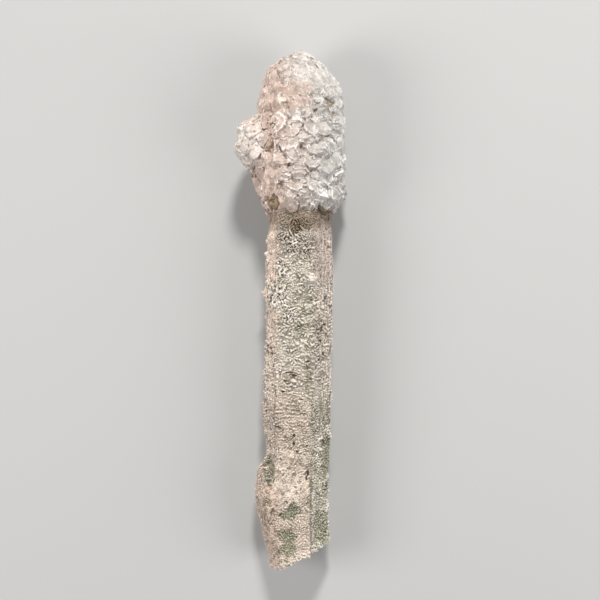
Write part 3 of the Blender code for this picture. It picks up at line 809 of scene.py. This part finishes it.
hem = uneven * soft_step(0.0340, 0.0296, cap_growth[:, 1])
from_axis = np.hypot(cap_growth[:, 0] - 0.0003, cap_growth[:, 2])
point = 0.0013 * soft_step(0.0055, 0.0008, from_axis) * soft_step(0.070, 0.076, cap_growth[:, 1])
moved = cap_points + cap_normals * rise[:, None] + UP_CRYSTAL * (hem + point)[:, None]
drawn_in = 0.20 * soft_step(0.0340, 0.0288, cap_growth[:, 1]) ** 1.3
moved -= (cap_growth * (1, 0, 1)) @ TURN.T * drawn_in[:, None]
moved[:, 2] = np.maximum(moved[:, 2], 0)
move_points(cap.data, moved)
for tint in TINTS:
    give(cap.data, tint, found[tint])
# The crest paints shade between the scales, and the rim value a highlight on their rims and at the
# highlight spots.
give(cap.data, "crest", soft_step(-0.0002, 0.0010, height + 0.00015 * rough + 0.0003 * lumps))
give(cap.data, "rim", np.clip(rim + 0.25 * speck + 0.45 * found["highlight_spot"], 0, 1))
give(cap.data, "tone", tone)
print("cap rises from", *(round(float(v * 1000), 2) for v in (rise.min(), rise.max())), "mm")

# %% [markdown]
# ## Crystals, flakes and grains
# The skin can't hang over itself, so the sharpest small things are pieces of their own: quartz
# points that lie across one another in the coarse clusters, thin flakes that stand off the cap,
# and grains everywhere. One of each is modelled from a cone; the rest are copies, joined into
# one mesh a kind.

# %% Templates
def new_cone(name, sides, bottom, top, height):
    deselect_all()
    bpy.ops.mesh.primitive_cone_add(
        vertices=sides, radius1=bottom, radius2=top, depth=height, location=(0, 0, 0)
    )
    piece = bpy.context.object
    piece.name = piece.data.name = name
    return piece


def draw_in_top(piece, lift, squeeze, widen=1.0):
    """Extrudes the top face by lift and squeezes or widens it."""
    only(piece)
    bpy.ops.object.mode_set(mode="EDIT")
    bpy.ops.mesh.select_mode(type="FACE")
    bpy.ops.mesh.select_all(action="DESELECT")
    bpy.ops.object.mode_set(mode="OBJECT")
    highest = max(face.center.z for face in piece.data.polygons)
    for face in piece.data.polygons:
        face.select = face.center.z > highest - 0.001
    bpy.ops.object.mode_set(mode="EDIT")
    bpy.ops.mesh.extrude_region_move(TRANSFORM_OT_translate={"value": (0, 0, lift)})
    bpy.ops.transform.resize(value=(squeeze, squeeze * widen, 1), center_override=(0, 0, 0))
    bpy.ops.mesh.select_all(action="SELECT")
    bpy.ops.mesh.normals_make_consistent(inside=False)
    bpy.ops.object.mode_set(mode="OBJECT")


crystal_form = new_cone("crystal", 6, 0.9, 1.0, 2.0)
draw_in_top(crystal_form, 0.8, 0.15, 2.5)
grain_form = new_cone("grain", 5, 1.0, 0.45, 1.2)
flake_form = new_cone("flake", 8, 0.9, 1.0, 0.10)
draw_in_top(flake_form, 0.05, 0.75)
print("faces:", *(len(form.data.polygons) for form in (crystal_form, grain_form, flake_form)))


# %% Lean and join copies
def leaning(normals, spins, tilts, ways):
    """Each copy's three axes: its z leans from the normal by the tilt, and it spins round z."""
    side, up = tangents(normals)
    way = side * np.cos(ways)[:, None] + up * np.sin(ways)[:, None]
    cross = np.cross(normals, way)
    z = normals * np.cos(tilts)[:, None] - way * np.sin(tilts)[:, None]
    level = way * np.cos(tilts)[:, None] + normals * np.sin(tilts)[:, None]
    x = level * np.cos(spins)[:, None] + cross * np.sin(spins)[:, None]
    return x, np.cross(z, x), z


def join_copies(name, form, places, frames, sizes, uneven, tints):
    """One piece made of a copy of the form at every place, each with its own uneven corners."""
    shape = points_of(form.data)
    loops = np.array([v for face in form.data.polygons for v in face.vertices])
    starts = np.array([face.loop_start for face in form.data.polygons])
    count, corners = len(places), len(shape)
    local = np.repeat(shape[None], count, axis=0)
    local[:, :, :2] *= 1 + uneven * (rng.random((count, corners, 1)) - 0.5)
    local = local * sizes[:, None, :]
    x, y, z = frames
    points = (
        places[:, None, :]
        + local[:, :, :1] * x[:, None, :]
        + local[:, :, 1:2] * y[:, None, :]
        + local[:, :, 2:] * z[:, None, :]
    ).reshape(-1, 3)
    points[:, 2] = np.maximum(points[:, 2], 0)
    mesh = bpy.data.meshes.new(name)
    mesh.vertices.add(len(points))
    mesh.loops.add(len(loops) * count)
    mesh.polygons.add(len(starts) * count)
    mesh.vertices.foreach_set("co", points.astype(np.float32).ravel())
    steps = np.arange(count)[:, None]
    mesh.loops.foreach_set("vertex_index", (loops + steps * corners).astype(np.int32).ravel())
    mesh.polygons.foreach_set("loop_start", (starts + steps * len(loops)).astype(np.int32).ravel())
    mesh.update(calc_edges=True)
    for key, values in tints.items():
        give(mesh, key, np.repeat(values, corners))
    piece = bpy.data.objects.new(name, mesh)
    bpy.context.scene.collection.objects.link(piece)
    print(f"{name}: {count} copies, {triangles_in(piece)} triangles")
    return piece


def tints_at(places, crest, rim=0.0):
    """What the finishes read, once a copy: the tints of its place, a crest, a rim and a tone."""
    found = zones(to_growth(places))
    tints = {tint: found[tint] for tint in TINTS}
    tints["crest"] = crest + rng.normal(0, 0.12, len(places))
    tints["rim"] = np.full(len(places), rim)
    tints["tone"] = rng.normal(0, 0.6, len(places))
    return tints


# %% Crystals in the coarse clusters
def cluster_crystals():
    """Points spread over each cluster's oval, dropped onto the nearest skin in front."""
    skin, outward = points_of(stem.data), stem_normals
    growth = to_growth(skin)
    front = np.flatnonzero((outward @ TURN[:, 2] > 0.30) & (growth[:, 1] > -0.03))
    tree = kdtree.KDTree(len(front))
    for index in front:
        tree.insert((growth[index, 0], growth[index, 1], 0), index)
    tree.balance()
    chosen = []
    for x, y, wide, high, count in DRUSES:
        for _ in range(count):
            away, angle = math.sqrt(rng.random()), rng.random() * math.tau
            spot_x, spot_y = x + wide * away * math.cos(angle), y + high * away * math.sin(angle)
            chosen.append(tree.find((spot_x * MM, spot_y * MM, 0))[1])
    chosen = np.array(chosen)
    count = len(chosen)
    jitter = rng.random((count, 5))
    frames = leaning(
        outward[chosen],
        jitter[:, 0] * math.tau,
        np.radians(50 + 40 * jitter[:, 1]),
        jitter[:, 2] * math.tau,
    )
    wide = 0.00016 * (0.7 + 0.6 * jitter[:, 3] + 0.9 * jitter[:, 3] ** 4)
    sizes = np.stack((wide, wide * 0.85, wide * (1.3 + 1.3 * jitter[:, 4])), axis=1)
    places = skin[chosen] + outward[chosen] * 0.00010
    tints = tints_at(places, 0.56)
    return join_copies("cluster_crystals", crystal_form, places, frames, sizes, 0.15, tints)


cluster_points = cluster_crystals()


# %% Grains on the stem and the cap
def sprinkle(name, piece, outward, count, wide, crest_from, crest_share):
    """Grains on the higher parts of a skin, half sunk in it."""
    skin = points_of(piece.data)
    crest = np.empty(len(skin), np.float32)
    piece.data.attributes["crest"].data.foreach_get("value", crest)
    likely = soft_step(*crest_from, crest) * (skin[:, 2] > 0.0012)
    chosen = rng.choice(len(skin), count, replace=False, p=likely / likely.sum())
    jitter = rng.random((count, 5))
    frames = leaning(
        outward[chosen], jitter[:, 0] * math.tau, jitter[:, 1] * 1.1, jitter[:, 2] * math.tau
    )
    width = wide * (0.6 + 0.9 * jitter[:, 3] ** 2)
    sizes = np.stack((width, width * 0.7, width * (0.6 + 0.6 * jitter[:, 4])), axis=1)
    tints = tints_at(skin[chosen], crest_share)
    return join_copies(name, grain_form, skin[chosen], frames, sizes, 0.4, tints)


stem_grains = sprinkle("stem_grains", stem, stem_normals, 6000, 0.00020, (0.35, 0.8), 0.75)
cap_grains = sprinkle("cap_grains", cap, cap_normals, 2200, 0.00022, (0.1, 0.6), 0.7)

# %% Flakes that stand off the cap
FLAKE_SINK = 0.35 * math.sin(math.radians(40))  # how deep a flake sits, as a share of its width


def loose_flakes():
    skin = points_of(cap.data)
    likely = np.clip(rim, 0, 1) ** 2 * (height > 0.0004) * (skin[:, 2] > 0.0015)
    likely *= 1 - 0.7 * cap_tip
    chosen = rng.choice(len(skin), 1500, replace=False, p=likely / likely.sum())
    stay = thin_out(skin[chosen], np.full(len(chosen), 0.0014))
    chosen = chosen[stay]
    count = len(chosen)
    jitter = rng.random((count, 6))
    ways = -math.pi / 2 + (jitter[:, 0] - 0.5) * math.radians(200)
    tilts = np.radians(15 + 50 * jitter[:, 2])
    frames = leaning(cap_normals[chosen], jitter[:, 1] * math.tau, tilts, ways)
    width = 0.00062 * (0.6 + 0.9 * jitter[:, 3])
    sizes = np.stack((width, width * (0.6 + 0.4 * jitter[:, 4]), width * 1.3), axis=1)
    places = skin[chosen] - cap_normals[chosen] * (FLAKE_SINK * width)[:, None]
    tints = tints_at(places, 0.8, 0.5)
    return join_copies("cap_flakes", flake_form, places, frames, sizes, 0.5, tints)


cap_flakes = loose_flakes()

# %% [markdown]
# ## Finishes
# Quartz crust is pale where a grain catches the light and dark between the grains, and both are
# painted in: a painted highlight on the crests and painted shade in the gaps. So each finish mixes
# a gap colour and a crest colour by the height stored on the mesh, shifts it by the named places,
# and adds fine mottling and bump from noise on object coordinates.

# %% Finish helpers
QUARTZ_IOR = 1.54


class Finish:
    """A material with short ways to add and join nodes."""

    def __init__(self, name):
        self.material = bpy.data.materials.new(name)
        self.material.use_nodes = True
        self.nodes = self.material.node_tree.nodes
        self.links = self.material.node_tree.links
        self.shader = self.nodes["Principled BSDF"]
        self.where = self.nodes.new("ShaderNodeTexCoord").outputs["Object"]

    def put(self, socket, value):
        if isinstance(value, bpy.types.NodeSocket):
            self.links.new(value, socket)
        else:
            socket.default_value = value

    def stored(self, name):
        node = self.nodes.new("ShaderNodeAttribute")
        node.attribute_name = name
        return node.outputs["Fac"]

    def grainy(self, per_metre, detail=2.0):
        node = self.nodes.new("ShaderNodeTexNoise")
        node.inputs["Scale"].default_value = per_metre
        node.inputs["Detail"].default_value = detail
        self.links.new(self.where, node.inputs["Vector"])
        return node.outputs["Fac"]

    def sum(self, how, a, b, clamp=False):
        node = self.nodes.new("ShaderNodeMath")
        node.operation = how
        node.use_clamp = clamp
        self.put(node.inputs[0], a)
        self.put(node.inputs[1], b)
        return node.outputs["Value"]

    def slope(self, value, low, high, to_low=0.0, to_high=1.0):
        node = self.nodes.new("ShaderNodeMapRange")
        node.interpolation_type = "SMOOTHSTEP"
        self.put(node.inputs["Value"], value)
        ends = {"From Min": low, "From Max": high, "To Min": to_low, "To Max": to_high}
        for name, number in ends.items():
            node.inputs[name].default_value = number
        return node.outputs["Result"]

    def blend(self, share, a, b, how="MIX"):
        node = self.nodes.new("ShaderNodeMix")
        node.data_type = "RGBA"
        node.blend_type = how
        self.put(node.inputs["Factor"], share)
        for socket, colour in ((node.inputs[6], a), (node.inputs[7], b)):
            self.put(socket, (*colour, 1) if isinstance(colour, tuple) else colour)
        return node.outputs[2]

    def bump(self, height, distance, strength):
        node = self.nodes.new("ShaderNodeBump")
        node.inputs["Distance"].default_value = distance
        node.inputs["Strength"].default_value = strength
        self.links.new(height, node.inputs["Height"])
        self.links.new(node.outputs["Normal"], self.shader.inputs["Normal"])


def tinted(finish, colour, amounts):
    """Shifts a colour towards each named tint by what the mesh stores for it."""
    for name, tint, strength in amounts:
        share = finish.sum("MULTIPLY", finish.stored(name), strength, clamp=True)
        colour = finish.blend(share, colour, tint, "MULTIPLY")
    return colour


def toned(finish, colour, strength):
    """Makes some grains lighter and some darker, by the number that each grain carries."""
    brightness = finish.sum("MULTIPLY_ADD", finish.stored("tone"), strength)
    brightness.node.inputs[2].default_value = 1.0
    node = finish.nodes.new("ShaderNodeVectorMath")
    node.operation = "SCALE"
    finish.put(node.inputs[0], colour)
    finish.put(node.inputs["Scale"], brightness)
    return node.outputs["Vector"]


# %% The crust's finish
# The gap colour is painted shade between the grains; the white on the tops is partly the grains' own
# white, partly a painted highlight.
GAP_SHADE = (0.145, 0.128, 0.095)
CRUST = (0.74, 0.675, 0.59)
SUGAR_WHITE_AND_HIGHLIGHT = (0.92, 0.89, 0.83)
DUST = (0.58, 0.50, 0.41)
CHLORITE = (0.50, 0.53, 0.43)
CRUST_TINTS = (
    ("blush_and_reflection", (1.04, 0.90, 0.85), 0.9),
    ("lilac", (0.79, 0.72, 0.73), 0.9),
    ("brown_and_shade", (0.40, 0.335, 0.27), 1.0),
)


def crust_finish():
    f = Finish("sugary crust")
    height = f.sum("ADD", f.stored("crest"), f.slope(f.grainy(2600, 3.0), 0.3, 0.7, -0.20, 0.20))
    colour = f.blend(f.slope(height, 0.05, 0.58), GAP_SHADE, CRUST)
    colour = f.blend(f.slope(height, 0.55, 0.95), colour, SUGAR_WHITE_AND_HIGHLIGHT)
    colour = f.blend(f.slope(f.grainy(420, 3.0), 0.35, 0.7, 0.0, 0.35), colour, DUST)
    off_the_tops = f.sum("SUBTRACT", 1.0, f.slope(height, 0.50, 0.90, 0.0, 0.45))
    green_and_shade = f.sum("MULTIPLY", f.stored("green_and_shade"), off_the_tops)
    colour = f.blend(green_and_shade, colour, CHLORITE, "MULTIPLY")
    colour = tinted(f, colour, CRUST_TINTS)
    f.put(f.shader.inputs["Base Color"], toned(f, colour, 0.20))
    f.put(f.shader.inputs["Roughness"], f.slope(f.grainy(1900, 1.0), 0.35, 0.65, 0.40, 0.70))
    f.shader.inputs["IOR"].default_value = QUARTZ_IOR
    f.shader.inputs["Subsurface Weight"].default_value = 0.08
    f.shader.inputs["Subsurface Radius"].default_value = (1.0, 0.85, 0.7)
    f.shader.inputs["Subsurface Scale"].default_value = 0.0005
    f.bump(f.grainy(3600, 2.0), 0.00010, 0.7)
    print(f.material.name, "has", len(f.nodes), "nodes")
    return f.material


crust = crust_finish()

# %% [markdown]
# ## The scales' finish
# A scale is a thin milky plate, so it is greyer in the middle, where one sees into it, and white
# along its rim, partly where it is broken and partly as a painted highlight where it catches the
# light. Down between the scales it is painted dark, as shade.

# %% The scales' finish
# Painted shade between the scales; the rim white is partly a painted highlight.
SHADE_BETWEEN = (0.17, 0.145, 0.12)
MILKY, MILKIER = (0.42, 0.38, 0.345), (0.60, 0.56, 0.52)
RIM_WHITE_AND_HIGHLIGHT = (0.90, 0.87, 0.835)
MILKY_TINTS = (
    ("blush_and_reflection", (1.06, 0.86, 0.78), 0.9),
    ("cool_shade", (0.99, 1.09, 1.15), 0.9),
    ("white_and_painted_light", (1.35, 1.38, 1.40), 0.9),
)
STAINS_AND_SHADE = (("brown_and_shade", (0.55, 0.46, 0.36), 1.0), ("green_and_shade", (0.66, 0.68, 0.54), 0.8))


def scale_finish():
    f = Finish("milky scales")
    patches = f.slope(f.grainy(1500, 3.0), 0.35, 0.7, -0.15, 0.20)
    rim = f.sum("ADD", f.stored("rim"), patches, clamp=True)
    middle = f.blend(f.slope(f.grainy(520, 3.0), 0.35, 0.68), MILKY, MILKIER)
    middle = f.blend(f.slope(f.stored("crest"), 0.0, 0.55), SHADE_BETWEEN, middle)
    middle = tinted(f, middle, MILKY_TINTS)
    colour = tinted(f, f.blend(f.slope(rim, 0.25, 0.95), middle, RIM_WHITE_AND_HIGHLIGHT), STAINS_AND_SHADE)
    f.put(f.shader.inputs["Base Color"], toned(f, colour, 0.10))
    f.put(f.shader.inputs["Roughness"], f.slope(f.grainy(900, 2.0), 0.35, 0.65, 0.52, 0.80))
    f.shader.inputs["IOR"].default_value = QUARTZ_IOR
    f.shader.inputs["Specular IOR Level"].default_value = 0.30
    f.shader.inputs["Subsurface Weight"].default_value = 0.15
    f.shader.inputs["Subsurface Radius"].default_value = (1.0, 0.85, 0.75)
    f.shader.inputs["Subsurface Scale"].default_value = 0.0008
    f.bump(f.sum("ADD", f.grainy(2100, 2.0), f.grainy(5200, 2.0)), 0.00012, 0.8)
    print(f.material.name, "has", len(f.nodes), "nodes")
    return f.material


scales = scale_finish()

# %% [markdown]
# ## Putting it together
# The two skins have too many faces to be one piece each, so they are cut across. A flat face
# over such an uneven cut would bridge its notches and show as a line. So a short ring of faces
# runs inwards from the cut, only its inner end is closed, and the edges of the cut are marked
# sharp, so that the shading runs on over them. Then each piece gets its finish, rides on the one
# body of the frame and stands for the solid.

# %% Cut the skins into lengths
STEM_CUTS = (-0.0415, -0.0055)
CAP_CUTS = (0.0585,)
BISECT_REACH = 0.0000001  # a larger reach would pull the skin's own points onto the cut
RING_INNER = 0.7  # the ring's inner edge, as a share of the cut's size


def cut_uneven(piece, y, keep_above):
    """Cuts an uneven skin. A ring with sharp edges runs in from the cut, closed at its inner end."""
    centre = TO_FRAME @ Vector((0, y, 0))
    only(piece)
    bpy.ops.object.mode_set(mode="EDIT")
    bpy.ops.mesh.select_mode(type="EDGE")
    bpy.ops.mesh.select_all(action="SELECT")
    bpy.ops.mesh.bisect(
        plane_co=centre,
        plane_no=UP_CRYSTAL,
        clear_inner=keep_above,
        clear_outer=not keep_above,
        threshold=BISECT_REACH,
    )
    bpy.ops.mesh.extrude_edges_move()
    bpy.ops.transform.resize(value=(RING_INNER,) * 3, center_override=centre)
    bpy.ops.mesh.fill_holes(sides=0)
    bpy.ops.mesh.select_all(action="SELECT")
    bpy.ops.mesh.normals_make_consistent(inside=False)
    bpy.ops.object.mode_set(mode="OBJECT")
    mesh = piece.data
    in_cut = np.abs(to_growth(points_of(mesh))[:, 1] - y) < SAME_PLACE
    ends = np.empty(len(mesh.edges) * 2, np.int32)
    mesh.edges.foreach_get("vertices", ends)
    sharp = np.empty(len(mesh.edges), bool)
    mesh.edges.foreach_get("use_edge_sharp", sharp)
    mesh.edges.foreach_set("use_edge_sharp", sharp | in_cut[ends.reshape(-1, 2)].all(axis=1))


def cut_into_lengths(piece, cuts, names):
    """Copies of a skin, each with all but its own length cut away."""
    lengths = []
    for name, low, high in zip(names, (None, *cuts), (*cuts, None)):
        length = piece.copy()
        length.data = piece.data.copy()
        length.name = length.data.name = name
        bpy.context.scene.collection.objects.link(length)
        for y, keep_above in ((low, True), (high, False)):
            if y is not None:
                cut_uneven(length, y, keep_above)
        print(f"{name}: {triangles_in(length)} triangles")
        lengths.append(length)
    bpy.data.objects.remove(piece)
    return lengths


stem_lengths = cut_into_lengths(stem, STEM_CUTS, ("stem_foot", "stem_middle", "stem_neck"))
cap_lengths = cut_into_lengths(cap, CAP_CUTS, ("cap_skirt", "cap_crown"))

# %% Finish every piece
for form in (crystal_form, grain_form, flake_form):
    bpy.data.objects.remove(form)

SMOOTH = (*stem_lengths, *cap_lengths)
FINISHES = dict.fromkeys((*stem_lengths, cluster_points, stem_grains), crust)
FINISHES.update(dict.fromkeys((*cap_lengths, cap_grains, cap_flakes), scales))
for piece, finish in FINISHES.items():
    piece.data.materials.clear()
    piece.data.materials.append(finish)
    only(piece)
    if piece in SMOOTH:
        bpy.ops.object.shade_smooth()
    else:
        bpy.ops.object.shade_flat()
    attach(piece, "root")
    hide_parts("quartz_floater")
deselect_all()
print("triangles in all:", sum(triangles_in(piece) for piece in FINISHES))
